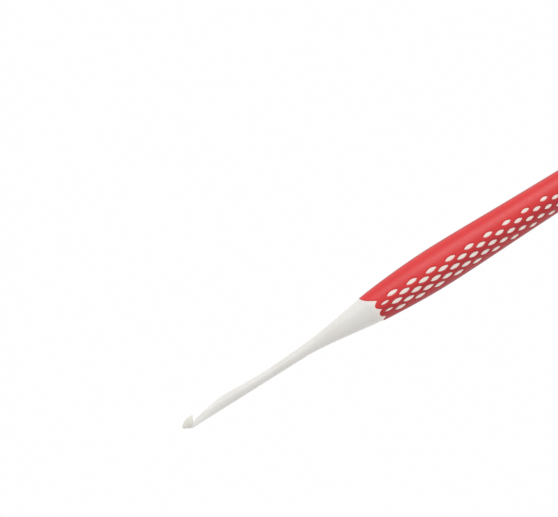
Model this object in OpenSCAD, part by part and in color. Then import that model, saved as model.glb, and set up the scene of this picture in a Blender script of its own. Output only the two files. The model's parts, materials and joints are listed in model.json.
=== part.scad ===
// Crochet hook with a two-shot moulded handle.
//
// The hook lies on its side on a table. Its long axis is X with the tip at the -X end, the mouth
// faces +Y, and +Z is up. The origin is on the table, under the middle of the hook.
// Inside the modules a place along the hook is its distance from the tip, and the axis is at
// y = 0 and z = 0; in_row_frame() puts the finished shape in its place. All sizes are millimetres.
//
// The real hook is two mouldings: a hard white core from tip to butt, and a soft red sleeve
// around its handle. The core is drawn as four nodes that meet face to face.

/* [Overall] */
// Length from tip to butt
hook_len = 170; // [160:1:185]
// Diameter of the shank, which is the hook's size
gauge_d = 3.0; // [2.8:0.1:3.2]

/* [Head] */
// Length of the rounded nose
nose_len = 2.9; // [2.5:0.1:3.1]
// Slant of the nose's flattened back, in degrees
nose_slant = 29; // [26:1:34]
// Distance from the tip to the point of the lip
lip_at = 4.3; // [4.1:0.05:4.4]
// Distance from the tip to the bottom of the mouth
root_at = 3.45; // [3.3:0.05:3.6]
// Height of the mouth's bottom above the axis, below the axis if negative
root_y = -0.2; // [-0.3:0.05:0]
// Distance from the tip to the end of the throat's ramp
ramp_end = 13.2; // [12:0.1:14]
// Half the thickness of the throat between its relieved cheeks
cheek_z = 1.08; // [0.9:0.02:1.3]
// Slant of the head's rear rim, in degrees
rim_slant = 31; // [25:1:35]

/* [Shank] */
// Distance from the tip to the front of the shank, behind the throat
shank_start = 13.5; // [13.5:0.1:14]
// Length of the plain round stretch that sets the stitch size
gauge_len = 3.5; // [3:0.1:4]
// How much slimmer the hook is at the head and at the neck than on that stretch, on the radius
end_taper = 0.04; // [0.02:0.01:0.06]
// Depth of the shallow waist on the mouth side
waist_depth = 0.42; // [0.2:0.02:0.5]

/* [Handle] */
// Distance from the tip to the front of the neck
neck_start = 37; // [36:0.5:38]
// Distance from the tip to the end of the neck
neck_end = 56; // [55:0.5:56.5]
// Half width of the handle at its widest
belly_r = 5.4; // [5:0.1:5.8]
// Distance from the tip to the widest place
belly_at = 78.5; // [75:0.5:82]
// Half width of the handle near its butt
butt_r = 4.2; // [3.9:0.1:4.6]
// Length of the rounded butt
butt_round = 4.5; // [3:0.1:6]
// Thickness of the handle as a share of its width
flatness = 0.85; // [0.8:0.01:0.9]
// How far below the axis the centre of the upper face's curve lies
face_drop = 1.76; // [1.5:0.01:2.5]

/* [Sleeve] */
// Thickness of the soft sleeve
sleeve_t = 0.8; // [0.6:0.05:0.85]
// Height of the sleeve's face above the white pads
sleeve_proud = 0.12; // [0.05:0.01:0.2]
// Distance from the tip to the notches of the sleeve's front edge
border_front = 60.4; // [60:0.1:61]
// Distance from the butt to the notches of the sleeve's rear edge
border_rear = 14; // [12:0.5:16]
// How far the lobes of the sleeve's edges reach past the notches
lobe_len = 1.3; // [1:0.1:1.5]

/* [Pads] */
// Distance from the tip to the first column of pads
pad_first = 61.9; // [61.9:0.1:62.4]
// Distance between the first two columns of one row
pad_pitch = 5.83; // [5.7:0.01:6]
// Number of columns of pads in each row
pad_columns = 14; // [8:1:14]
// Angle between rows around the handle, in degrees
row_step = 14; // [13:0.5:14]
// Length of the longest pads
pad_len = 3.4; // [2.8:0.1:3.5]
// Width of the longest pads
pad_w = 1.15; // [1:0.05:1.3]

/* [Hidden] */
white = [0.93, 0.92, 0.91];
red = [0.86, 0.26, 0.27];
gauge_r = gauge_d / 2;
slim_r = gauge_r - end_taper;
axis_z = belly_r * flatness;
rows = 5;
pad_shrink = 1 / 34;
pitch_shrink = 0.0075;
through = 2 * belly_r + 2;

// Stations of the handle's outline: distance from the tip, half width, and slope there.
butt_start = hook_len - butt_round;
stations = [
    [neck_start, slim_r, 0.02],
    [47, 2.47, 0.145],
    [57, 4.03, 0.135],
    [65, 4.82, 0.07],
    [belly_at, belly_r, 0],
    [100, belly_r - 0.42, -0.024],
    [butt_start, butt_r, -0.008]
];

// Cubic through the stations a and b, at distance s from the tip.
function hermite(a, b, s) =
    let (span = b[0] - a[0], t = (s - a[0]) / span)
    (2 * t ^ 3 - 3 * t ^ 2 + 1) * a[1] + (t ^ 3 - 2 * t ^ 2 + t) * span * a[2]
    + (3 * t ^ 2 - 2 * t ^ 3) * b[1] + (t ^ 3 - t ^ 2) * span * b[2];

function station_before(s, i = 0) =
    i < len(stations) - 2 && s > stations[i + 1][0] ? station_before(s, i + 1) : i;

// Half width of the handle at distance s from the tip.
function half_width(s) =
    s <= neck_start ? slim_r
    : s < butt_start ? hermite(stations[station_before(s)], stations[station_before(s) + 1], s)
    : butt_r * sqrt(max(0, 1 - ((s - butt_start) / butt_round) ^ 2));

function curve(a, b, c, steps) =
    [for (i = [0:steps]) let (t = i / steps) (1 - t) ^ 2 * a + 2 * t * (1 - t) * b + t ^ 2 * c];

function smooth(t) = let (u = min(1, max(0, t))) u * u * (3 - 2 * u);

module in_row_frame() {
    translate([-hook_len / 2, 0, axis_z]) children();
}

// Turns an outline of [radius, distance from the tip] about the hook's axis.
module turned(outline) {
    rotate([0, 90, 0]) rotate_extrude($fn = 96) polygon(outline);
}

/* ---- head and shank ---- */

// Side view of the mouth: the head's rear face, the rounded root and the ramp of the throat.
module mouth_outline() {
    root = [root_at, root_y];
    ramp_foot = [root_at + 1.15, root_y + 0.4];
    polygon(concat(
        curve([lip_at, gauge_r + 0.1], [root_at - 0.4, root_y + 0.6], root, 8),
        curve(root, [root_at + 0.3, root_y + 0.2], ramp_foot, 4),
        curve(ramp_foot, [ramp_end - 3, gauge_r - 0.08], [ramp_end, gauge_r + 0.02], 8),
        [[ramp_end, 2 * gauge_r], [lip_at, 2 * gauge_r]]
    ));
}

// Everything behind the flattened back of the nose, which starts just below the tip.
module nose_back() {
    reach = 4 * gauge_r;
    translate([0, -0.2 * gauge_r, 0]) rotate([0, 0, -nose_slant])
        translate([-reach / 2, -reach, -reach / 2]) cube(reach);
}

// Relief of one cheek of the throat: deepest at the head's rim, it runs out towards the shank.
module cheek_relief() {
    relief_r = 18;
    rim_at = root_at - 0.4;
    translate([rim_at, root_y, 0]) rotate([0, 0, -rim_slant]) intersection() {
        translate([0, 0, cheek_z + relief_r]) rotate([90, 0, 0])
            cylinder(r = relief_r, h = 8 * gauge_r, center = true, $fn = 96);
        translate([0, -2 * gauge_r, 0]) cube([3 * gauge_r, 4 * gauge_r, 2 * gauge_r]);
    }
}

module hook_head() {
    nose_steps = 12;
    nose = [for (i = [0:nose_steps]) let (a = 90 * i / nose_steps)
        [slim_r * sin(a), nose_len * (1 - cos(a))]];
    color(white) in_row_frame() difference() {
        turned(concat(nose, [[gauge_r, shank_start], [0, shank_start]]));
        translate([0, 0, -through / 2]) linear_extrude(through) mouth_outline();
        nose_back();
        cheek_relief();
        mirror([0, 0, 1]) cheek_relief();
    }
}

module shank() {
    waist_front = shank_start + gauge_len;
    waist_half = (neck_start - waist_front) / 2;
    waist_r = (waist_half ^ 2 + waist_depth ^ 2) / (2 * waist_depth);
    color(white) in_row_frame() difference() {
        turned([
            [0, shank_start], [gauge_r, shank_start], [gauge_r, waist_front],
            [slim_r, neck_start], [0, neck_start]
        ]);
        translate([waist_front + waist_half, gauge_r - waist_depth + waist_r, 0])
            cylinder(r = waist_r, h = through, center = true, $fn = 720);
    }
}

/* ---- neck ---- */

// Radius at angle a of an oval section of half width w and half thickness flat * w. Its sides are
// arcs about the axis, and its upper and lower faces are arcs about centres face_drop beyond it.
function oval_radius(w, flat, a) =
    min(w, sqrt((flat * w + face_drop) ^ 2 - (face_drop * cos(a)) ^ 2) - face_drop * abs(sin(a)));

// Section at distance s, round at the shank and as flat as the handle at the neck's end.
function neck_ring(s, sides) =
    let (
        share = smooth((s - neck_start) / (neck_end - neck_start)),
        w = half_width(s) - sleeve_proud * share,
        flat = 1 - (1 - flatness) * share
    )
    [for (i = [0:sides - 1]) let (a = 360 * i / sides, r = oval_radius(w, flat, a))
        [s, r * cos(a), r * sin(a)]];

module neck() {
    sides = 48;
    rings = 14;
    points = [for (i = [0:rings - 1])
        each neck_ring(neck_start + (neck_end - neck_start) * i / (rings - 1), sides)];
    walls = [for (i = [0:rings - 2], j = [0:sides - 1])
        let (a = i * sides + j, b = i * sides + (j + 1) % sides)
        each [[a, b, b + sides], [a, b + sides, a + sides]]];
    front = [for (j = [sides - 1:-1:0]) j];
    back = [for (j = [0:sides - 1]) (rings - 1) * sides + j];
    color(white) in_row_frame() polyhedron(points, concat([front, back], walls));
}

/* ---- handle ---- */

// Distance from the tip to the end of the handle's body, with its surface lowered by inset.
// The white core's own surface is the one that ends the hook.
function body_end(inset) = hook_len + sleeve_proud - inset;

// Outline of the handle, [radius, distance from the tip], from its front face to its butt. Each
// half width is multiplied by share, and then raised by extra. Behind the widest place the
// outline has rear_steps straight stretches.
function handle_outline(inset, share, extra, rear_steps) =
    let (
        front_steps = 5,
        round_steps = 6,
        front = [for (i = [0:front_steps - 1]) neck_end + (belly_at - neck_end) * i / front_steps],
        rear = [for (i = [0:rear_steps]) belly_at + (butt_start - belly_at) * i / rear_steps],
        body = [for (s = concat(front, rear)) [half_width(s) - inset, s]],
        butt = [for (i = [1:round_steps]) let (a = 90 * i / round_steps)
            [(butt_r - inset) * cos(a), butt_start + (body_end(inset) - butt_start) * sin(a)]]
    )
    [for (p = concat(body, butt)) [share * p[0] + extra, p[1]]];

// Handle with an oval section, with its whole surface lowered by inset. Its upper and lower faces
// are straight from the widest place to the butt, so that it lies steadily on a table.
module handle_body(inset) {
    sides = handle_outline(inset, 1, 0, 11);
    face = handle_outline(inset, flatness, face_drop, 1);
    end = [[0, body_end(inset)], [0, neck_end]];
    intersection() {
        turned(concat(sides, [[0, neck_end]]));
        translate([0, 0, -face_drop]) turned(concat(face, end));
        translate([0, 0, face_drop]) turned(concat(face, end));
    }
}

// Height of the middle row of pads on the handle's side, negative towards the back of the hook.
function pattern_y(s) = -half_width(s) * (0.42 - 0.065 * max(0, (90 - s) / 25) ^ 1.5);

// Height of row k, counted from the mouth side.
function row_y(k, s) =
    let (
        first = -3.4,
        spread = 5.25 * min(1, half_width(s) / 4.87)
    )
    pattern_y(s) + spread * (sin(first + 2 * row_step) - sin(first + k * row_step));

// Pointed oval of the given length and width, made of two arcs.
module leaf(length, width) {
    arc_r = (length ^ 2 + width ^ 2) / (4 * width);
    intersection() {
        translate([0, width / 2 - arc_r]) circle(r = arc_r, $fn = 90);
        translate([0, arc_r - width / 2]) circle(r = arc_r, $fn = 90);
    }
}

// The pads of one side, seen from above. Rows are staggered by half a pitch, the pitch shrinks a
// little towards the butt, and the foremost pad of each odd row is small.
module pad_outlines() {
    for (k = [0:rows - 1], i = [0:pad_columns - 1]) {
        column = i + (k % 2 == 0 ? 0.5 : 0);
        s = pad_first + pad_pitch * column - pitch_shrink * column ^ 2;
        y = row_y(k, s);
        small = column == 0;
        length = (pad_len - max(0, s - 76) * pad_shrink) * (small ? 0.77 : 1);
        width = pad_w * (1 - 0.3 * smooth((s - 76) / 80)) * (small ? 0.6 : 1);
        tilt = sqrt(1 - (y / half_width(s)) ^ 2);
        translate([s, y]) leaf(length, width * tilt);
    }
}

// Edge of a lobe that bulges towards -X from one notch to the next: a circle's arc of twice the
// sweep, stretched to the lobe's length and width.
function lobe(top, bottom, steps) =
    let (middle = (top + bottom) / 2, half = (top - bottom) / 2, sweep = 45)
    [for (i = [0:steps]) let (a = sweep * (2 * i / steps - 1))
        [-lobe_len * (cos(a) - cos(sweep)) / (1 - cos(sweep)), middle - half * sin(a) / sin(sweep)]];

// Front edge of the sleeve, as offsets from its notches: a long slant on the mouth side,
// two lobes between the rows of pads, and a short slant at the back.
front_edge = concat(
    [[-4.6, 6], [-3.75, 3.95]],
    curve([-3.7, 3.9], [-1.6, 2.3], [0, 1.2], 6),
    lobe(1.2, -1.75, 8),
    lobe(-1.75, -3.8, 8),
    [[-1.6, -4.45], [-2.4, -6]]
);

// Everything in side view that the sleeve's outer edges enclose.
module sleeve_outline() {
    rear_at = hook_len - border_rear;
    rear_share = butt_r / 4.6;
    front = [for (p = front_edge) [border_front + p[0], p[1]]];
    rear = [for (i = [len(front_edge) - 1:-1:0])
        [rear_at - front_edge[i][0], front_edge[i][1] * rear_share]];
    polygon(concat(
        [[front[0][0], belly_r + 1]], front, [[front[len(front) - 1][0], -belly_r - 1]],
        [[rear[0][0], -belly_r - 1]], rear, [[rear[len(rear) - 1][0], belly_r + 1]]
    ));
}

// The area of the red net in side view.
module sleeve_area() {
    difference() {
        sleeve_outline();
        pad_outlines();
    }
}

module grip_core() {
    color(white) in_row_frame() difference() {
        handle_body(sleeve_proud);
        difference() {
            translate([0, 0, -through / 2]) linear_extrude(through) sleeve_area();
            handle_body(sleeve_t);
        }
    }
}

module grip_sleeve() {
    color(red) in_row_frame() difference() {
        intersection() {
            handle_body(0);
            translate([0, 0, -through / 2]) linear_extrude(through) sleeve_area();
        }
        handle_body(sleeve_t);
    }
}

hook_head();
shank();
neck();
grip_core();
grip_sleeve();
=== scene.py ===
"""Crochet hook with a two-shot moulded handle: the looks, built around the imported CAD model.

The shapes are worked out in millimetres, as (s, y, z): s is the distance from the hook's tip, and
the hook's axis is at y = 0 and z = 0. make_mesh() puts them in the row frame, in metres.

Two pieces show. hook_core is the white moulding: head, throat, shank, neck, raised pads and butt.
grip_sleeve_skin is the red one: a soft skin around the handle with a window for each pad.
"""

import json
import math

import bmesh
import bpy
import numpy as np
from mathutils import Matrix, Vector
from mathutils.geometry import delaunay_2d_cdt


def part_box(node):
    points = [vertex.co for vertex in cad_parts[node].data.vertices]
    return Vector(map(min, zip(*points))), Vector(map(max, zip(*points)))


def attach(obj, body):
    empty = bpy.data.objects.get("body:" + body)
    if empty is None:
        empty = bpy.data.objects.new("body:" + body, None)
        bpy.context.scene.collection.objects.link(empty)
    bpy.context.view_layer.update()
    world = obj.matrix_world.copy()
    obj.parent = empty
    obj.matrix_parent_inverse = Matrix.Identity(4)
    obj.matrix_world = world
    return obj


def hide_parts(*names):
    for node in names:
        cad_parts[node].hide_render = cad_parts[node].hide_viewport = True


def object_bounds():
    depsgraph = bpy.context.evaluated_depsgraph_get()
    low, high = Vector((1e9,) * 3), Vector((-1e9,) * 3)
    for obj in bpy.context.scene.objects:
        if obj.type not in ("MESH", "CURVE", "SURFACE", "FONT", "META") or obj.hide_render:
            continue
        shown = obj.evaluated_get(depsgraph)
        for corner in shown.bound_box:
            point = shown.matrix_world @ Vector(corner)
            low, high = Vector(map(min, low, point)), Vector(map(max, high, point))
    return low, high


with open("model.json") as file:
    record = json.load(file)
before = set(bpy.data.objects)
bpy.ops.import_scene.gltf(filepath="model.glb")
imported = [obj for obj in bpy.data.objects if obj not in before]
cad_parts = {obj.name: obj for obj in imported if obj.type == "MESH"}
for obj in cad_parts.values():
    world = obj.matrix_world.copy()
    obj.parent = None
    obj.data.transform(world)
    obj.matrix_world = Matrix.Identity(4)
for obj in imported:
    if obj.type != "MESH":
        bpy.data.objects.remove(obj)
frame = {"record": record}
cad_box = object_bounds()

MM = 0.001
TINY = 1e-9  # keeps a division from failing

# ---- the frame's own sizes -------------------------------------------------------------------

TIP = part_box("hook_head")[0].x
HOOK_LEN = (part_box("grip_core")[1].x - TIP) / MM
NECK_END = (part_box("neck")[1].x - TIP) / MM
NECK_START = (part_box("neck")[0].x - TIP) / MM
GAUGE = next(m for m in frame["record"]["mounts"] if m["name"] == "shank_gauge")
GAUGE_R = GAUGE["dims"]["r_mm"]
AXIS_Z = GAUGE["pos_m"][2]
BELLY_R = (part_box("grip_sleeve")[1].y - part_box("grip_sleeve")[0].y) / 2 / MM

# ---- design sizes, in millimetres ------------------------------------------------------------

BELLY_AT = 78.5  # the handle's widest place
FLATNESS = 0.85  # thickness of the handle as a share of its width
FACE_DROP = 1.76  # the upper face is an arc about a point this far below the axis
OVAL_BLEND = 0.8  # how wide the face runs into the side, for each mm of width over thickness
BUTT_R = 4.2
BUTT_ROUND = 4.5
BUTT_START = HOOK_LEN - BUTT_ROUND
WAIST_FROM, WAIST_TO, WAIST_DEPTH, WAIST_POWER = 13.4, 39.0, 0.46, 1.6

SLEEVE_T = 0.8
PROUD = 0.12  # the red skin stands this far above the white
SINK_FROM, SINK_RUN = 44.0, 13.0  # where the white surface goes down to that

SIDES = 96  # points around the hook
SHANK_RINGS, NECK_RINGS, BUTT_RINGS = 60, 46, 15  # rings of points along it
ARC_R = 5.0  # radius used to unroll the handle's surface flat


def ease(t):
    t = np.clip(t, 0.0, 1.0)
    return t * t * (3 - 2 * t)


def soft_min(a, b, k):
    """Minimum of a and b, rounded over a width of k."""
    h = np.maximum(k - np.abs(a - b), 0.0) / np.maximum(k, TINY)
    return np.minimum(a, b) - h * h * k / 4


def soft_max(a, b, k):
    return -soft_min(-a, -b, k)


# ---- the handle's outline --------------------------------------------------------------------

# Distance from the tip, half width, and slope there.
STATIONS = np.array([
    [NECK_START, GAUGE_R, 0.02],
    [47.0, 2.47, 0.145],
    [57.0, 4.03, 0.135],
    [65.0, 4.82, 0.07],
    [BELLY_AT, BELLY_R, 0.0],
    [100.0, BELLY_R - 0.42, -0.024],
    [BUTT_START, BUTT_R, -0.008],
])


def half_width(s):
    """Half width of the hook at distance s from the tip, for an array of distances."""
    s = np.asarray(s, float)
    i = np.clip(np.searchsorted(STATIONS[:, 0], s, side="right") - 1, 0, len(STATIONS) - 2)
    a, b = STATIONS[i], STATIONS[i + 1]
    span = b[..., 0] - a[..., 0]
    t = np.clip((s - a[..., 0]) / span, 0, 1)
    cubic = (
        (2 * t**3 - 3 * t**2 + 1) * a[..., 1]
        + (t**3 - 2 * t**2 + t) * span * a[..., 2]
        + (3 * t**2 - 2 * t**3) * b[..., 1]
        + (t**3 - t**2) * span * b[..., 2]
    )
    butt = BUTT_R * np.sqrt(np.clip(1 - ((s - BUTT_START) / BUTT_ROUND) ** 2, 0, 1))
    return np.where(s <= NECK_START, GAUGE_R, np.where(s < BUTT_START, cubic, butt))


def half_thickness(s):
    """A share of the half width, straight from the widest place to the butt."""
    share = 1 - (1 - FLATNESS) * ease((s - NECK_START) / (NECK_END - NECK_START))
    straight = np.interp(s, (BELLY_AT, BUTT_START), (FLATNESS * BELLY_R, FLATNESS * BUTT_R))
    return np.where((s > BELLY_AT) & (s < BUTT_START), straight, share * half_width(s))


def oval_radius(w, h, turn):
    """Radius at angle turn from the +Z axis of an oval of half width w and half thickness h."""
    c, q = np.abs(np.cos(turn)), np.sin(turn)
    face = np.sqrt((h + FACE_DROP) ** 2 - (FACE_DROP * q) ** 2) - FACE_DROP * c
    return soft_min(w, face, OVAL_BLEND * (w - h))


def skin(s, turn, raised=0.0):
    """Points (s, y, z) on the hook's surface, raised by a height along the section's radius."""
    s, turn = np.broadcast_arrays(np.asarray(s, float), np.asarray(turn, float))
    r = oval_radius(half_width(s), half_thickness(s), turn) + raised
    y, z = r * np.sin(turn), r * np.cos(turn)
    waist = np.clip((s - WAIST_FROM) / (WAIST_TO - WAIST_FROM), 0, 1)
    dip = WAIST_DEPTH * np.sin(np.pi * waist) ** WAIST_POWER
    y = (y + r) * (1 - dip / (2 * r + TINY)) - r
    return np.stack([s, y, z], axis=-1)


def white_level(s):
    """Height of the white moulding's surface against the handle's outline."""
    return -PROUD * ease((np.asarray(s, float) - SINK_FROM) / SINK_RUN)


# ---- mesh helpers ----------------------------------------------------------------------------

MERGE, SPECK = 0.002, 0.001  # points closer than this are joined, smaller edges are dissolved
SHARP = math.radians(50)  # a steeper edge than this is shaded as a sharp one


def make_mesh(name, points, faces, material):
    """A closed mesh piece from (s, y, z) points in millimetres."""
    points = np.asarray(points, float)
    placed = np.empty_like(points)
    placed[:, 0] = TIP + points[:, 0] * MM
    placed[:, 1] = points[:, 1] * MM
    placed[:, 2] = AXIS_Z + points[:, 2] * MM
    mesh = bpy.data.meshes.new(name)
    mesh.from_pydata(placed.tolist(), [], [list(map(int, f)) for f in faces])
    bm = bmesh.new()
    bm.from_mesh(mesh)
    bmesh.ops.remove_doubles(bm, verts=bm.verts, dist=MERGE * MM)
    bmesh.ops.dissolve_degenerate(bm, dist=SPECK * MM, edges=bm.edges)
    bmesh.ops.recalc_face_normals(bm, faces=bm.faces)
    open_edges = sum(1 for e in bm.edges if len(e.link_faces) != 2)
    print(f"{name}: {len(bm.faces)} faces, {open_edges} edges without two faces")
    bm.to_mesh(mesh)
    bm.free()
    mesh.shade_smooth()
    mesh.set_sharp_from_angle(angle=SHARP)
    piece = bpy.data.objects.new(name, mesh)
    bpy.context.scene.collection.objects.link(piece)
    mesh.materials.append(material)
    return piece


class Shell:
    """Collects points and faces of one piece."""

    def __init__(self):
        self.points = []
        self.faces = []
        self.count = 0

    def add(self, points):
        """Takes in points and gives back their numbers."""
        points = np.asarray(points, float).reshape(-1, 3)
        first = self.count
        self.points.append(points)
        self.count += len(points)
        return np.arange(first, self.count)

    def grid(self, rows):
        """Quads between closed rings of equal length, given as lists of point numbers."""
        for a, b in zip(rows[:-1], rows[1:]):
            a2, b2 = np.roll(a, -1), np.roll(b, -1)
            self.faces.extend(zip(a, a2, b2, b))

    def cap(self, ring, centre):
        """Triangles from a closed ring to a point."""
        tip = self.add([centre])[0]
        self.faces.extend((a, b, tip) for a, b in zip(ring, np.roll(ring, -1)))

    def zip_rings(self, a, turn_a, b, turn_b):
        """Triangles between two closed rings with different numbers of points, by their angles."""
        a, b = np.asarray(a)[np.argsort(turn_a)], np.asarray(b)[np.argsort(turn_b)]
        turn_a, turn_b = np.sort(turn_a), np.sort(turn_b)
        i = j = 0
        while i < len(a) or j < len(b):
            next_a = turn_a[i + 1] if i + 1 < len(a) else turn_a[0] + 2 * math.pi
            next_b = turn_b[j + 1] if j + 1 < len(b) else turn_b[0] + 2 * math.pi
            p, q = a[i % len(a)], b[j % len(b)]
            if j >= len(b) or (i < len(a) and next_a <= next_b):
                self.faces.append((p, a[(i + 1) % len(a)], q))
                i += 1
            else:
                self.faces.append((p, b[(j + 1) % len(b)], q))
                j += 1

    def all_points(self):
        return np.concatenate(self.points)


# ---- the head and throat, as a rounded distance field ----------------------------------------

NOSE_LEN = 2.9
TIP_DROP = 0.3  # the tip lies this far below the axis
NOSE_SLANT, NOSE_CROWN = math.radians(29), 5.0  # the flattened back of the nose and its rounding
LIP_AT, ROOT_AT, ROOT_Y = 4.45, 3.45, -0.2
RAMP_END = 13.2
CHEEK_Z, CHEEK_R, CHEEK_REACH = 1.08, 18.0, 0.9  # relief of the cheeks behind the rim, an arc
RIM_AT, RIM_SLANT = 3.05, math.radians(31)
HEAD_END, HEAD_GAP = 14.0, 0.3  # the head's open end, and from there to the shank's first ring
NOSE_BLEND, MOUTH_BLEND, CHEEK_BLEND, RIM_BLEND = 0.3, 0.16, 0.35, 0.12  # widths of rounded edges

HEAD_GRID, HEAD_GRID_MAX, HEAD_GROWTH = 0.062, 0.3, 1.05  # finest and coarsest cells
HEAD_FROM, FINE_TO, HEAD_REACH = -0.15, 6.6, 1.65  # what the cells take in
MOUTH_STEPS, ROOT_STEPS, RAMP_STEPS = 14, 8, 20  # steps of the mouth's outline
MOUTH_TOP = 3.0  # the outline closes this far above the axis, clear of the hook


def curve(a, b, c, steps):
    """Points of a quadratic curve from a to c, drawn towards b."""
    t = np.linspace(0, 1, steps + 1)[:, None]
    a, b, c = map(np.asarray, (a, b, c))
    return (1 - t) ** 2 * a + 2 * t * (1 - t) * b + t**2 * c


def mouth_outline():
    """Side view of the mouth: the head's rear face, the rounded root and the throat's ramp."""
    root = (ROOT_AT, ROOT_Y)
    foot = (ROOT_AT + 1.15, ROOT_Y + 0.4)
    ramp_end = (RAMP_END, GAUGE_R + 0.02)
    return np.concatenate([
        curve((LIP_AT, GAUGE_R + 0.1), (ROOT_AT - 0.4, ROOT_Y + 0.6), root, MOUTH_STEPS),
        curve(root, (ROOT_AT + 0.3, ROOT_Y + 0.2), foot, ROOT_STEPS)[1:],
        curve(foot, (RAMP_END - 3, GAUGE_R - 0.08), ramp_end, RAMP_STEPS)[1:],
        [(RAMP_END, MOUTH_TOP), (LIP_AT, MOUTH_TOP)],
    ])


def outline_distance(s, y, outline):
    """Signed distance from points to a closed outline, negative inside it."""
    best = np.full(s.shape, 1e9)
    inside = np.zeros(s.shape, bool)
    for (x0, y0), (x1, y1) in zip(outline, np.roll(outline, -1, axis=0)):
        dx, dy = x1 - x0, y1 - y0
        t = np.clip(((s - x0) * dx + (y - y0) * dy) / (dx * dx + dy * dy), 0, 1)
        best = np.minimum(best, np.hypot(s - x0 - t * dx, y - y0 - t * dy))
        if y0 != y1:
            crosses = (y0 > y) != (y1 > y)
            inside ^= crosses & (s < x0 + (y - y0) / (y1 - y0) * dx)
    return np.where(inside, -best, best)


MOUTH = mouth_outline()


def head_field(p):
    """Distance-like field of the head and throat, negative inside the plastic."""
    s, y, z = p[..., 0], p[..., 1], p[..., 2]
    drop = TIP_DROP * np.clip(1 - s / NOSE_LEN, 0, 1.2) ** 2
    rad = np.hypot(y + drop, z)
    back = np.minimum(s - NOSE_LEN, 0.0)
    k0 = np.sqrt((back / NOSE_LEN) ** 2 + (rad / GAUGE_R) ** 2)
    k1 = np.sqrt((back / NOSE_LEN**2) ** 2 + (rad / GAUGE_R**2) ** 2)
    body = k0 * (k0 - 1) / np.maximum(k1, 1e-6)
    under = -s * math.sin(NOSE_SLANT) - (y + TIP_DROP) * math.cos(NOSE_SLANT)
    body = soft_max(body, under + z * z / NOSE_CROWN, NOSE_BLEND)
    f = soft_max(body, -outline_distance(s, y, MOUTH), MOUTH_BLEND)
    behind = (s - RIM_AT) * math.cos(RIM_SLANT) - (y - ROOT_Y) * math.sin(RIM_SLANT)
    run = np.clip(behind, 0, CHEEK_R * CHEEK_REACH)
    cheek = CHEEK_Z + CHEEK_R - np.sqrt(CHEEK_R**2 - run**2)
    relief = soft_min(behind, np.abs(z) - cheek, CHEEK_BLEND)
    return soft_max(f, relief, RIM_BLEND)


def settle(p, rounds=6):
    """Moves points onto the head's surface along the field's gradient."""
    step, longest, least_slope = 1e-3, 0.05, 0.2
    for _ in range(rounds):
        f = head_field(p)
        g = np.stack([
            (head_field(p + step * axis) - head_field(p - step * axis)) / (2 * step)
            for axis in np.eye(3)
        ], axis=-1)
        move = f[:, None] * g / np.maximum((g * g).sum(axis=1), least_slope)[:, None]
        p = p - np.clip(move, -longest, longest)
    return p


def surface_net(axes, field):
    """The zero surface of a field sampled on a box grid, with one point in each cell that it cuts.

    Gives back the points, the quads and which cells have a point.
    """
    shape = tuple(len(a) - 1 for a in axes)
    total, hits = np.zeros(shape + (3,)), np.zeros(shape, int)
    crossings = []
    for d in range(3):
        lo = tuple(slice(0, -1) if e == d else slice(None) for e in range(3))
        hi = tuple(slice(1, None) if e == d else slice(None) for e in range(3))
        a, b = field[lo], field[hi]
        index = np.argwhere((a < 0) != (b < 0))
        fa, fb = a[tuple(index.T)], b[tuple(index.T)]
        t = fa / (fa - fb)
        point = np.stack([axes[e][index[:, e]] for e in range(3)], axis=-1)
        point[:, d] += t * (axes[d][index[:, d] + 1] - axes[d][index[:, d]])
        u, v = (e for e in range(3) if e != d)
        cells = []
        for du, dv in ((-1, -1), (0, -1), (0, 0), (-1, 0)):
            cell = index.copy()
            cell[:, u] += du
            cell[:, v] += dv
            good = ((cell >= 0) & (cell < shape)).all(axis=1)
            np.add.at(total, tuple(cell[good].T), point[good])
            np.add.at(hits, tuple(cell[good].T), 1)
            cells.append(np.where(good[:, None], cell, -1))
        crossings.append(np.stack(cells, axis=1))
    number = np.full(shape, -1)
    used = hits > 0
    number[used] = np.arange(used.sum())
    points = total[used] / hits[used][:, None]
    quads = []
    for cells in crossings:
        whole = (cells >= 0).all(axis=(1, 2))
        quads.append(number[tuple(np.moveaxis(cells[whole], -1, 0))])
    return points, np.concatenate(quads), used


def head_points():
    """Points and quads of the head and throat, open at HEAD_END, and the points of that rim."""
    near = np.arange(HEAD_FROM, FINE_TO, HEAD_GRID)
    cells = np.minimum(HEAD_GRID * HEAD_GROWTH ** np.arange(1, 200), HEAD_GRID_MAX)
    far = near[-1] + np.cumsum(cells)
    along = np.concatenate([near, far[far < HEAD_END]])
    count = 2 * int(HEAD_REACH / HEAD_GRID) + 2
    across = np.linspace(-HEAD_REACH, HEAD_REACH, count)
    axes = (along, across, across)
    field = head_field(np.stack(np.meshgrid(*axes, indexing="ij"), axis=-1))
    points, quads, used = surface_net(axes, field)
    layer = np.argwhere(used)[:, 0]
    rim = np.flatnonzero(layer == len(along) - 2)
    points = settle(points)
    points[rim, 0] = HEAD_END
    return points, quads, rim


# ---- the flat pattern of pads, windows and edges ---------------------------------------------
# The handle's upper half is unrolled to (s, v), where v / ARC_R is the angle from +Z towards +Y.

ROWS = 5
ROW_FIRST, ROW_STEP = math.radians(-3.4), math.radians(14)
ROW_SPREAD, FULL_WIDTH = 5.25, 4.87  # radius of the rows' drum, and the half width it goes with
PAD_FIRST, PAD_PITCH, PAD_COLUMNS = 61.9, 5.83, 14
PITCH_SHRINK = 0.0075
PAD_LEN, PAD_W = 3.4, 1.15
SMALL_LEN, SMALL_W = 0.77, 0.6  # shares for the foremost pads of the second and fourth row
SHRINK_FROM, SHRINK_RUN = 76, 34  # behind here the pads get 1 mm shorter over this distance
NARROWING, NARROW_RUN = 0.3, 80  # and narrower by this share over this one

# Middle of the pattern, as a share of the half width. It rises in front of RISE_TO.
MIDDLE, RISE, RISE_TO, RISE_RUN, RISE_POWER = 0.42, 0.065, 90, 25, 1.5

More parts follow.
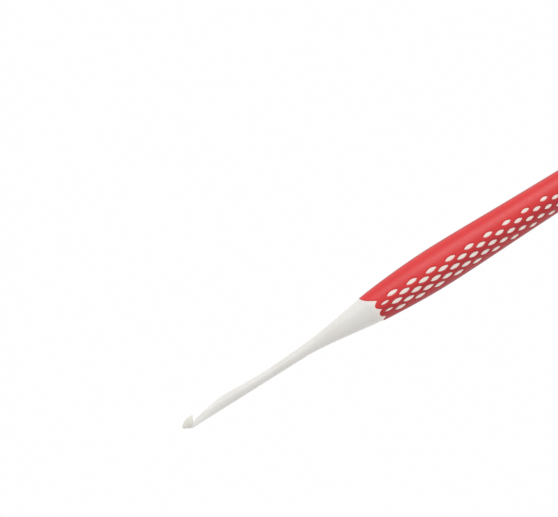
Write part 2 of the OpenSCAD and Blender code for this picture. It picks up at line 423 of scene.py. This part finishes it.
BORDER_FRONT, BORDER_REAR = 60.4, HOOK_LEN - 14  # the notches of the sleeve's two edges
NOTCHES = [math.radians(a) for a in (-59, -22.5, 16)]
LOBE_LEN, LOBE_SWEEP = 1.3, math.radians(45)
EDGE_STEPS = 12  # points of a lobe, and of the slant on the mouth side
EDGE_SPACING = 0.4  # longest gap between points of the sleeve's edge
QUARTER = ARC_R * math.pi / 2

GRID = 0.55  # spacing of points on what shows
HIDDEN_GRID = 1.6  # spacing of points under the sleeve
WINDOW_STEPS = (0.04, 0.1, 0.18)  # lines of points around a window
PAD_STEPS = (-0.05, -0.12)  # lines of points inside a pad's edge
BORDER_STEPS = (0.07, 0.18, 0.36)  # lines of points behind the sleeve's edge
LIP_ROUND, LIP_DROP = 0.18, 0.10  # rounded edge of the red skin
PAD_ROUND, PAD_DROP = 0.12, 0.07  # rounded edge of a pad
RED_CLEAR, WHITE_CLEAR, HIDDEN_CLEAR = 0.42, 0.4, 0.3  # grid points keep this far from the lines


def pattern_y(s):
    """Where the pattern's middle runs across the hook."""
    return -half_width(s) * (MIDDLE - RISE * np.maximum(0, (RISE_TO - s) / RISE_RUN) ** RISE_POWER)


def row_y(k, s):
    """Where row k runs across the hook: the rows lie as if evenly spaced around a drum."""
    spread = ROW_SPREAD * min(1.0, float(half_width(s)) / FULL_WIDTH)
    middle_row, this_row = (ROW_FIRST + row * ROW_STEP for row in (ROWS // 2, k))
    return pattern_y(s) + spread * (math.sin(middle_row) - math.sin(this_row))


def turn_at(s, y):
    """Angle from +Z at which the handle's upper surface has this y."""
    turn = 0.0
    for _ in range(30):
        r = float(np.linalg.norm(skin(s, turn)[1:]))
        turn = math.asin(max(-1, min(1, y / r)))
    return turn


def leaf_spots():
    """Centre (s, v), length and width of each pad, on the unrolled surface."""
    for k in range(ROWS):
        for i in range(PAD_COLUMNS):
            column = i + (0.5 if k % 2 == 0 else 0)
            s = PAD_FIRST + PAD_PITCH * column - PITCH_SHRINK * column**2
            turn = turn_at(s, float(row_y(k, s)))
            small = column == 0
            length = (PAD_LEN - max(0, s - SHRINK_FROM) / SHRINK_RUN) * (SMALL_LEN if small else 1)
            narrowing = NARROWING * float(ease((s - SHRINK_FROM) / NARROW_RUN))
            width = PAD_W * (1 - narrowing) * (SMALL_W if small else 1)
            r = float(np.linalg.norm(skin(s, turn)[1:]))
            yield s, turn * ARC_R, length, width * ARC_R / r


def leaf_ring(s, v, length, width, out, steps=11):
    """Pointed oval of two arcs, grown by out, as a closed list of points."""
    r = (length**2 + width**2) / (4 * width)
    rise = r - width / 2
    r += out
    half = math.acos(rise / r)
    a = np.linspace(-half, half, steps + 1)[:-1]
    upper = np.stack([r * np.sin(a), r * np.cos(a) - rise], axis=-1)
    return np.array([s, v]) + np.concatenate([upper, -upper])


def border_line():
    """The sleeve's front edge, back of the hook to mouth side, as (s - BORDER_FRONT, v).

    It has a small tip at the back, a lobe between each two notches, and a long slant.
    """
    edge = [(-1.3, -math.pi / 2), (-1.25, -1.42), (-0.95, -1.24), (-0.5, -1.12)]
    for a, b in zip(NOTCHES[:-1], NOTCHES[1:]):
        for q in np.linspace(-LOBE_SWEEP, LOBE_SWEEP, EDGE_STEPS)[:-1]:
            bulge = (math.cos(q) - math.cos(LOBE_SWEEP)) / (1 - math.cos(LOBE_SWEEP))
            across = (b - a) / 2 * math.sin(q) / math.sin(LOBE_SWEEP)
            edge.append((-LOBE_LEN * bulge, (a + b) / 2 + across))
    slant = ((0.0, NOTCHES[-1]), (-2.7, 0.72), (-3.5, 0.9), (-3.7, math.pi / 2))
    for t in np.linspace(0, 1, EDGE_STEPS):
        weights = ((1 - t) ** 3, 3 * t * (1 - t) ** 2, 3 * t * t * (1 - t), t**3)
        edge.append([sum(w * q[i] for w, q in zip(weights, slant)) for i in (0, 1)])
    return np.array(edge) * (1, ARC_R)


def split_long(line, spacing):
    """The open line with its long stretches divided evenly."""
    out = [line[:1]]
    for a, b in zip(line[:-1], line[1:]):
        count = max(1, round(float(np.linalg.norm(b - a)) / spacing))
        out.append(a + (b - a) * np.linspace(0, 1, count + 1)[1:, None])
    return np.concatenate(out)


LEAVES = list(leaf_spots())
EDGE = split_long(border_line(), EDGE_SPACING)
FRONT_EDGE = EDGE + (BORDER_FRONT, 0)
REAR_EDGE = EDGE * (-1, 1) + (BORDER_REAR, 0)


def line_distance(p, line):
    """Distance from points to an open line."""
    best = np.full(len(p), 1e9)
    for a, b in zip(line[:-1], line[1:]):
        d = b - a
        t = np.clip((p - a) @ d / (d @ d), 0, 1)
        best = np.minimum(best, np.linalg.norm(p - a - t[:, None] * d, axis=1))
    return best


def border_distance(p):
    """Distance to the sleeve's nearest edge."""
    return np.minimum(line_distance(p, FRONT_EDGE), line_distance(p, REAR_EDGE))


def leaf_distance(p):
    """Distance to the nearest pad's outline, negative inside the pad."""
    best = np.full(len(p), 1e9)
    for s, v, length, width in LEAVES:
        r = (length**2 + width**2) / (4 * width)
        d = np.hypot(p[:, 0] - s, np.abs(p[:, 1] - v) + r - width / 2) - r
        best = np.minimum(best, d)
    return best


def in_net(p):
    """Which points lie between the sleeve's front and rear edges."""
    front = np.interp(p[:, 1], FRONT_EDGE[:, 1], FRONT_EDGE[:, 0])
    rear = np.interp(p[:, 1], REAR_EDGE[:, 1], REAR_EDGE[:, 0])
    return (p[:, 0] > front) & (p[:, 0] < rear)


class Flat:
    """Points and edges on the unrolled surface, ready to be triangulated."""

    def __init__(self, points=(), edges=()):
        self.points, self.edges = list(points), list(edges)

    def line(self, line, closed=False):
        """Adds a line's points, and the edges between them."""
        first = len(self.points)
        self.points.extend(map(tuple, line))
        last = len(self.points) - 1
        self.edges.extend((i, i + 1) for i in range(first, last))
        if closed:
            self.edges.append((last, first))

    def rim(self, spacing):
        """The outer edges of the unrolled half: two rings' halves and the two seams."""
        ring = np.linspace(-QUARTER, QUARTER, SIDES // 2 + 1)
        self.line([(NECK_END, v) for v in ring])
        self.line([(BUTT_START, v) for v in ring])
        for v in (-QUARTER, QUARTER):
            stops = np.array([NECK_END, FRONT_EDGE[0 if v < 0 else -1, 0],
                              REAR_EDGE[0 if v < 0 else -1, 0], BUTT_START])
            for a, b in zip(stops[:-1], stops[1:]):
                count = max(1, round((b - a) / spacing))
                self.points.extend((s, v) for s in np.linspace(a, b, count + 1)[1:-1])

    def fill(self, spacing, margin):
        """A staggered grid of points, clear of the edges, the borders and the pads' outlines."""
        rise = spacing * math.sqrt(3) / 2
        rows = np.arange(-QUARTER + rise * 0.8, QUARTER - rise * 0.6, rise)
        s = np.arange(NECK_END + spacing / 2, BUTT_START - spacing / 3, spacing)
        grid = np.array([(x + (i % 2) * spacing / 2, v) for i, v in enumerate(rows) for x in s])
        grid = grid[grid[:, 0] < BUTT_START - spacing / 3]
        clear = (np.abs(leaf_distance(grid)) > margin) & (border_distance(grid) > margin)
        self.points.extend(map(tuple, grid[clear]))

    def triangles(self):
        """Triangles over all the points, as point numbers, that keep to the lines."""
        points = [Vector(p) for p in self.points]
        made = delaunay_2d_cdt(points, self.edges, [], 0, 1e-6)
        if any(len(ids) != 1 for ids in made[3]):
            raise ValueError("lines of the flat pattern cross or points of it meet")
        number = np.array([ids[0] for ids in made[3]])
        return number[np.array(made[2])]


def features():
    """The walls' lines, shared by every surface: the sleeve's two edges and the pads' outlines."""
    flat = Flat()
    flat.line(FRONT_EDGE)
    flat.line(REAR_EDGE)
    for leaf in LEAVES:
        flat.line(leaf_ring(*leaf, out=0.0), closed=True)
    return flat


def patterned_half():
    """The handle's upper half: three surfaces, as (points, triangles), and their shared lines.

    Red is the sleeve's outer surface, white is what shows of the core, and hidden is the surface
    under the sleeve, where the two pieces meet.
    """
    base = features()
    hidden = Flat(base.points, base.edges)
    hidden.rim(HIDDEN_GRID)
    hidden.fill(HIDDEN_GRID, HIDDEN_CLEAR)
    red = Flat(base.points, base.edges)
    red.rim(GRID)
    for leaf in LEAVES:
        for out in WINDOW_STEPS:
            red.points.extend(map(tuple, leaf_ring(*leaf, out=out)))
    for step in BORDER_STEPS:
        red.points.extend(map(tuple, FRONT_EDGE[1:-1] + (step, 0)))
        red.points.extend(map(tuple, REAR_EDGE[1:-1] - (step, 0)))
    red.fill(GRID, RED_CLEAR)
    white = Flat(base.points, base.edges)
    white.rim(GRID)
    for leaf in LEAVES:
        for out in PAD_STEPS:
            white.points.extend(map(tuple, leaf_ring(*leaf, out=out)))
        s, v, length, _ = leaf
        middle_line = np.linspace(-0.25, 0.25, 5) * length
        white.points.extend((s + x, v) for x in middle_line)
    white.fill(GRID, WHITE_CLEAR)
    surfaces = []
    for flat, wanted in ((red, "red"), (white, "white"), (hidden, "red")):
        p, triangles = np.array(flat.points), flat.triangles()
        middle = p[triangles].mean(axis=1)
        is_red = in_net(middle) & (leaf_distance(middle) > 0)
        surfaces.append((p, triangles[is_red if wanted == "red" else ~is_red]))
    return surfaces, base.edges


def red_height(p):
    """Height of the sleeve's surface against the handle's outline: it drops at every edge."""
    d = np.minimum(np.maximum(leaf_distance(p), 0), border_distance(p))
    return -LIP_DROP * (1 - np.minimum(d / LIP_ROUND, 1)) ** 2


def white_height(p):
    """Height of the core's surface, with a rounded edge on every pad."""
    d = -leaf_distance(p)
    pad = -PROUD - PAD_DROP * (1 - np.clip(d / PAD_ROUND, 0, 1)) ** 2
    return np.where(d > -1e-6, pad, white_level(p[:, 0]))


def half_surface(shell, p, height, side):
    """Puts flat points on the hook, on its upper (side 1) or its lower half (side -1)."""
    points = skin(p[:, 0], p[:, 1] / ARC_R, height)
    points[:, 2] *= side
    return shell.add(points)


def wall(shell, upper, lower, edges):
    """Quads between two surfaces along the lines that they share."""
    shell.faces.extend((upper[a], upper[b], lower[b], lower[a]) for a, b in edges)


def patch(shell, numbers, triangles):
    """Adds a surface's triangles."""
    shell.faces.extend(map(tuple, numbers[triangles]))


(RED, WHITE, HIDDEN), WALL_EDGES = patterned_half()


def sleeve_piece(material):
    """The red moulding: an outer and an inner surface, and walls at its edges and windows."""
    shell = Shell()
    for side in (1, -1):
        outer = half_surface(shell, RED[0], red_height(RED[0]), side)
        inner = half_surface(shell, HIDDEN[0], -SLEEVE_T, side)
        patch(shell, outer, RED[1])
        patch(shell, inner, HIDDEN[1])
        wall(shell, outer, inner, WALL_EDGES)
    return finished(shell, "grip_sleeve_skin", material)


def core_piece(material):
    """The white moulding: the head's net, rings to the neck's end, the patterned part, the butt."""
    shell = Shell()
    turns = np.linspace(0, 2 * math.pi, SIDES, endpoint=False) - math.pi / 2

    points, quads, rim = head_points()
    numbers = shell.add(points)
    shell.faces.extend(map(tuple, numbers[quads]))

    def ring(s):
        return shell.add(skin(s, turns, float(white_level(s))))

    stations = np.concatenate([
        np.linspace(HEAD_END + HEAD_GAP, NECK_START, SHANK_RINGS, endpoint=False),
        np.linspace(NECK_START, NECK_END, NECK_RINGS),
    ])
    rings = [ring(s) for s in stations]
    rim_turn = np.arctan2(points[rim, 1], points[rim, 2])
    ring_turn = np.mod(turns + math.pi, 2 * math.pi) - math.pi
    shell.zip_rings(numbers[rim], rim_turn, rings[0], ring_turn)
    shell.grid(rings)

    for side in (1, -1):
        top = half_surface(shell, WHITE[0], white_height(WHITE[0]), side)
        under = half_surface(shell, HIDDEN[0], -SLEEVE_T, side)
        patch(shell, top, WHITE[1])
        patch(shell, under, HIDDEN[1])
        wall(shell, top, under, WALL_EDGES)

    rounding = np.sin(np.linspace(0, math.pi / 2, BUTT_RINGS + 1)[:-1])
    shell.grid([ring(BUTT_START + BUTT_ROUND * q) for q in rounding])
    last = shell.count - SIDES
    shell.cap(np.arange(last, shell.count), (HOOK_LEN, 0, 0))
    return finished(shell, "hook_core", material)


def finished(shell, name, material):
    """Makes the mesh from the shell, without the points that no face uses."""
    faces = [np.array(f) for f in shell.faces]
    used = np.unique(np.concatenate(faces))
    number = np.full(shell.count, -1)
    number[used] = np.arange(len(used))
    return make_mesh(name, shell.all_points()[used], [number[f] for f in faces], material)


# ---- materials -------------------------------------------------------------------------------

# Where the white plastic's tints and its painted light and shade run into each other, as distances
# from the tip.
THROAT_LIGHT_FADE, PADS_FADE, BUTT_FADE = (6, 13), (57.5, 60.5), (BORDER_REAR - 4, BORDER_REAR)
# Across the head's rim the head's painted shade fades into the shank's white.
HEAD_SHADE_FADE = (-0.2, 0.1)  # the same across the head's rim
# Painted shade: over this run the red turns darker towards the hook's back, the side turned away from
# the key light.
PAINTED_SHADE_FADE = (-0.8, 2.5)  # where the red gets deeper, as distances behind the hook's axis


def linear(*srgb):
    """Scene colour of an 8-bit screen colour."""

    def one(c):
        c /= 255
        return c / 12.92 if c <= 0.04045 else ((c + 0.055) / 1.055) ** 2.4

    return tuple(one(c) for c in srgb) + (1.0,)


class Nodes:
    """A material's nodes, with short calls to make and join them."""

    def __init__(self, name):
        self.material = bpy.data.materials.new(name)
        self.material.use_nodes = True
        self.tree = self.material.node_tree
        self.shader = self.tree.nodes["Principled BSDF"]
        self.place = self.new("ShaderNodeTexCoord").outputs["Object"]

    def new(self, kind, **settings):
        node = self.tree.nodes.new(kind)
        for key, value in settings.items():
            setattr(node, key, value)
        return node

    def join(self, a, b):
        self.tree.links.new(a, b)

    def noise(self, per_mm, detail=3.0):
        """Noise with the given number of grains in a millimetre."""
        node = self.new("ShaderNodeTexNoise")
        node.inputs["Scale"].default_value = per_mm / MM
        node.inputs["Detail"].default_value = detail
        self.join(self.place, node.inputs["Vector"])
        return node.outputs["Fac"]

    def ramp(self, value, low, high, colours):
        """Goes from the first colour to the second as the value goes from low to high."""
        node = self.new("ShaderNodeValToRGB")
        node.color_ramp.elements[0].position = low
        node.color_ramp.elements[1].position = high
        for element, colour in zip(node.color_ramp.elements, colours):
            element.color = colour
        self.join(value, node.inputs["Fac"])
        return node.outputs["Color"]

    def spread(self, value, low, high):
        """Stretches the usual range of a noise to the range from low to high."""
        node = self.new("ShaderNodeMapRange")
        node.inputs["From Min"].default_value = 0.3
        node.inputs["From Max"].default_value = 0.7
        node.inputs["To Min"].default_value = low
        node.inputs["To Max"].default_value = high
        self.join(value, node.inputs["Value"])
        return node.outputs["Result"]

    def blend(self, direction, start, fade, first, second):
        """Goes from the first colour to the second along a direction.

        The fade is two distances in millimetres from start, which is a place in metres.
        """
        place = self.new("ShaderNodeVectorMath", operation="DOT_PRODUCT")
        self.join(self.place, place.inputs[0])
        place.inputs[1].default_value = direction
        share = self.new("ShaderNodeMapRange", interpolation_type="SMOOTHSTEP")
        share.inputs["From Min"].default_value = start + fade[0] * MM
        share.inputs["From Max"].default_value = start + fade[1] * MM
        self.join(place.outputs["Value"], share.inputs["Value"])
        mix = self.new("ShaderNodeMix", data_type="RGBA")
        self.join(share.outputs["Result"], mix.inputs["Factor"])
        self.join(first, mix.inputs[6])
        self.join(second, mix.inputs[7])
        return mix.outputs[2]

    def painted_rim_shade(self, colour, share):
        """Painted shade: scales the colour down to a share of it where the surface turns away from
        the eye.
        """
        facing = self.new("ShaderNodeLayerWeight")
        facing.inputs["Blend"].default_value = 0.5
        scale = self.new("ShaderNodeMapRange", interpolation_type="SMOOTHSTEP")
        scale.inputs["From Min"].default_value = 0.45
        scale.inputs["To Min"].default_value = 1.0
        scale.inputs["To Max"].default_value = share
        self.join(facing.outputs["Facing"], scale.inputs["Value"])
        product = self.new("ShaderNodeVectorMath", operation="SCALE")
        self.join(colour, product.inputs[0])
        self.join(scale.outputs["Result"], product.inputs["Scale"])
        return product.outputs["Vector"]

    def bump(self, value, strength, depth_mm, normal=None):
        """A bump of the given depth, on top of another bump's normal if there is one."""
        node = self.new("ShaderNodeBump")
        node.inputs["Strength"].default_value = strength
        node.inputs["Distance"].default_value = depth_mm * MM
        self.join(value, node.inputs["Height"])
        if normal is not None:
            self.join(normal, node.inputs["Normal"])
        return node.outputs["Normal"]


def white_polymer():
    """Hard moulded plastic: satin, slightly warm, with the faint unevenness of a mould.

    The head has painted shade, a little darker and yellower than the shank; the throat has painted
    light, lighter than the shank; the pads are warmer.
    """
    n = Nodes("white_polymer")
    tint = n.ramp(n.noise(0.12), 0.35, 0.7, (linear(231, 228, 223), linear(237, 235, 231)))
    # Painted shade: a darker, yellower copy of the white for the head.
    head_painted_shade = n.ramp(n.noise(0.5), 0.3, 0.7, (linear(227, 225, 214), linear(236, 235, 227)))
    # Painted light: a lighter copy of the white for the throat.
    throat_painted_light = n.ramp(n.noise(0.5), 0.3, 0.7, (linear(240, 238, 233), linear(245, 244, 240)))
    pads = n.ramp(n.noise(0.3), 0.3, 0.7, (linear(253, 238, 228), linear(255, 243, 234)))
    rim = (math.cos(RIM_SLANT), -math.sin(RIM_SLANT), 0)
    rim_at = (TIP + RIM_AT * MM) * rim[0] + ROOT_Y * MM * rim[1]
    along = (1, 0, 0)
    whole = n.blend(along, TIP, THROAT_LIGHT_FADE, throat_painted_light, tint)
    whole = n.blend(rim, rim_at, HEAD_SHADE_FADE, head_painted_shade, whole)
    whole = n.blend(along, TIP, PADS_FADE, whole, pads)
    whole = n.blend(along, TIP, BUTT_FADE, whole, tint)
    n.join(whole, n.shader.inputs["Base Color"])
    n.join(n.spread(n.noise(0.9), 0.36, 0.46), n.shader.inputs["Roughness"])
    wave = n.bump(n.noise(0.35, 1.0), 0.25, 0.02)
    n.join(n.bump(n.noise(9.0), 0.25, 0.004, wave), n.shader.inputs["Normal"])
    n.shader.inputs["Subsurface Weight"].default_value = 0.12
    n.shader.inputs["Subsurface Radius"].default_value = (1.0, 0.9, 0.8)
    n.shader.inputs["Subsurface Scale"].default_value = 0.6 * MM
    n.shader.inputs["IOR"].default_value = 1.5
    return n.material


def red_elastomer():
    """Soft-touch skin: semi-matte, with a fine spark-eroded grain; painted shade makes it darker
    towards the hook's back.
    """
    n = Nodes("red_elastomer")
    # Lit and shaded copies of the red: the darker one is painted shade for the hook's back, the side
    # turned away from the key light.
    lit_side_red = n.ramp(n.noise(0.2), 0.3, 0.75, (linear(222, 42, 45), linear(228, 46, 48)))
    painted_shade_red = n.ramp(n.noise(0.2), 0.3, 0.75, (linear(181, 26, 37), linear(187, 30, 40)))
    tint = n.blend((0, -1, 0), 0, PAINTED_SHADE_FADE, lit_side_red, painted_shade_red)
    # Painted shade along the outline: the red gets darker where the surface turns away from the eye.
    n.join(n.painted_rim_shade(tint, 0.5), n.shader.inputs["Base Color"])
    n.join(n.spread(n.noise(1.5), 0.38, 0.46), n.shader.inputs["Roughness"])
    wave = n.bump(n.noise(0.5, 1.0), 0.2, 0.03)
    n.join(n.bump(n.noise(11.0), 0.45, 0.008, wave), n.shader.inputs["Normal"])
    n.shader.inputs["IOR"].default_value = 1.48
    n.shader.inputs["Specular IOR Level"].default_value = 0.62
    return n.material


def light_table():
    """Evenly lit white sheet: the hook gets TABLE_GLOW from it, and the camera sees it as white."""
    n = Nodes("light_table")
    n.shader.inputs["Base Color"].default_value = (0, 0, 0, 1)
    n.shader.inputs["Specular IOR Level"].default_value = 0
    n.shader.inputs["Emission Color"].default_value = (1, 1, 1, 1)
    seen = n.new("ShaderNodeMapRange")
    seen.inputs["To Min"].default_value = TABLE_GLOW
    seen.inputs["To Max"].default_value = TABLE_WHITE
    n.join(n.new("ShaderNodeLightPath").outputs["Is Camera Ray"], seen.inputs["Value"])
    n.join(seen.outputs["Result"], n.shader.inputs["Emission Strength"])
    return n.material


# ---- the pieces ------------------------------------------------------------------------------

core = core_piece(white_polymer())
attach(core, "root")
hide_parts("hook_head", "shank", "neck", "grip_core")

sleeve = sleeve_piece(red_elastomer())
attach(sleeve, "root")
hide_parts("grip_sleeve")

# ---- floor, light and camera -----------------------------------------------------------------

TABLE_GLOW, TABLE_WHITE = 0.92, 0.995
SKY = 0.64
KEY_WATTS, LOW_WATTS = 3.3, 0.6
FLOOR_HALF, FLOOR_DROP = 3.0, 0.0002  # metres

floor_mesh = bpy.data.meshes.new("floor")
corners = [(FLOOR_HALF * x, FLOOR_HALF * y, 0) for x, y in ((-1, -1), (1, -1), (1, 1), (-1, 1))]
floor_mesh.from_pydata(corners, [], [(0, 1, 2, 3)])
floor_mesh.materials.append(light_table())
floor = bpy.data.objects.new("floor", floor_mesh)
bpy.context.scene.collection.objects.link(floor)
floor.location.z = cad_box[0].z - FLOOR_DROP

# The view straight down: where it looks, the width of the table it takes in, and its turn.
LOOK_S, LOOK_Y = 44.75, 23.84
VIEW_WIDTH = 145.1
TURN = math.radians(32.2)
LENS, SENSOR = 200.0, 36.0

camera_data = bpy.data.cameras.new("camera")
camera = bpy.data.objects.new("camera", camera_data)
bpy.context.scene.collection.objects.link(camera)
bpy.context.scene.camera = camera
camera_data.lens = LENS
camera_data.sensor_width = SENSOR
distance = VIEW_WIDTH * MM * LENS / SENSOR
look = Vector((TIP + LOOK_S * MM, LOOK_Y * MM, AXIS_Z))
camera.location = look + Vector((0, 0, distance))
camera.rotation_euler = (0, 0, -TURN)
camera_data.clip_start, camera_data.clip_end = 0.01, 10


def soft_box(name, place, width, height, watts):
    """A rectangular lamp that points at the middle of the hook. Places and sizes are in metres."""
    aim = Vector((0, 0, 0.005))
    data = bpy.data.lights.new(name, "AREA")
    data.shape = "RECTANGLE"
    data.size, data.size_y, data.energy = width, height, watts
    lamp = bpy.data.objects.new(name, data)
    bpy.context.scene.collection.objects.link(lamp)
    lamp.location = place
    lamp.rotation_euler = (aim - Vector(place)).to_track_quat("-Z", "Y").to_euler()


soft_box("key", (0.13, 0.66, 0.67), 0.6, 0.5, KEY_WATTS)
soft_box("low", (0.15, -0.9, 0.14), 0.6, 0.3, LOW_WATTS)

world = bpy.data.worlds.new("world")
world.use_nodes = True
world.node_tree.nodes["Background"].inputs["Color"].default_value = (1, 1, 1, 1)
world.node_tree.nodes["Background"].inputs["Strength"].default_value = SKY
bpy.context.scene.world = world
bpy.context.scene.view_settings.view_transform = "Standard"
